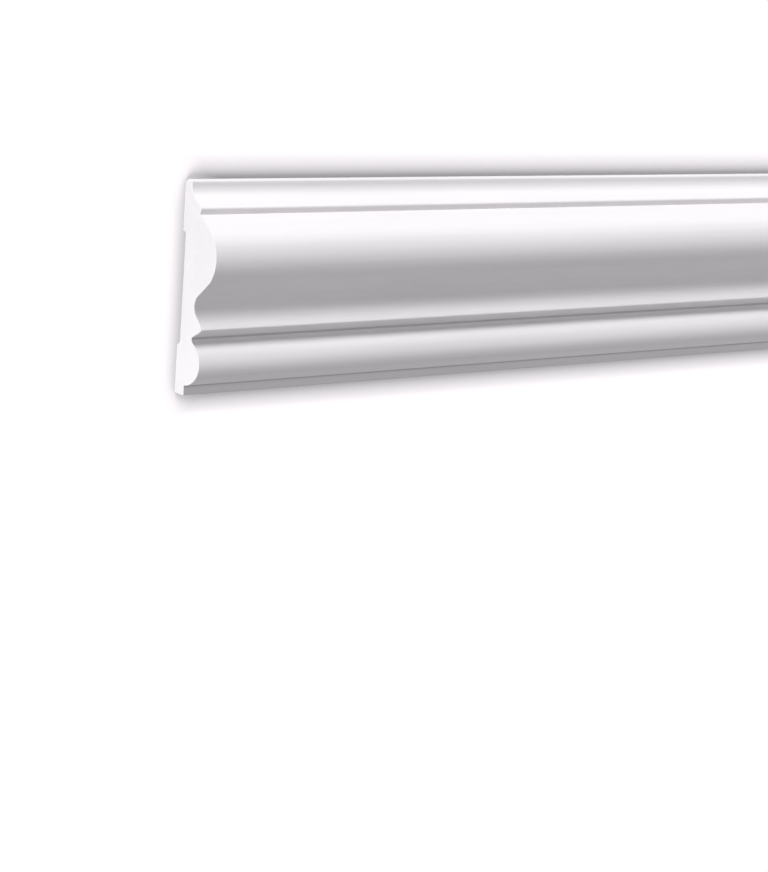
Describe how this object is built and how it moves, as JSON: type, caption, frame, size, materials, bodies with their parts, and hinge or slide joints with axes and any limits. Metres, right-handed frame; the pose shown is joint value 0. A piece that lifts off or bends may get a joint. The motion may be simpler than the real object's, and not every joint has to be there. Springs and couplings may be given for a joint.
{
  "type": "panel moulding",
  "caption": "Length of white primed wall panel moulding with a thin lip, cove, ogee, quirk and bead on its face and a relieved back for adhesive.",
  "frame": {"origin": "middle of the back, on the plane of the two glue lands, halfway along the stock and halfway across it", "axes": "+X along the stock, +Y across it towards the thin lip (its upper edge on the wall), +Z out of the face"},
  "size_m": [2, 0.09, 0.0254],
  "materials": {
    "primed_moulding": "matt white primer on moulded rigid polyurethane foam, with sawn foam ends"
  },
  "bodies": {
    "root": {"panel_moulding": "primed_moulding"}
  },
  "joints": []
}
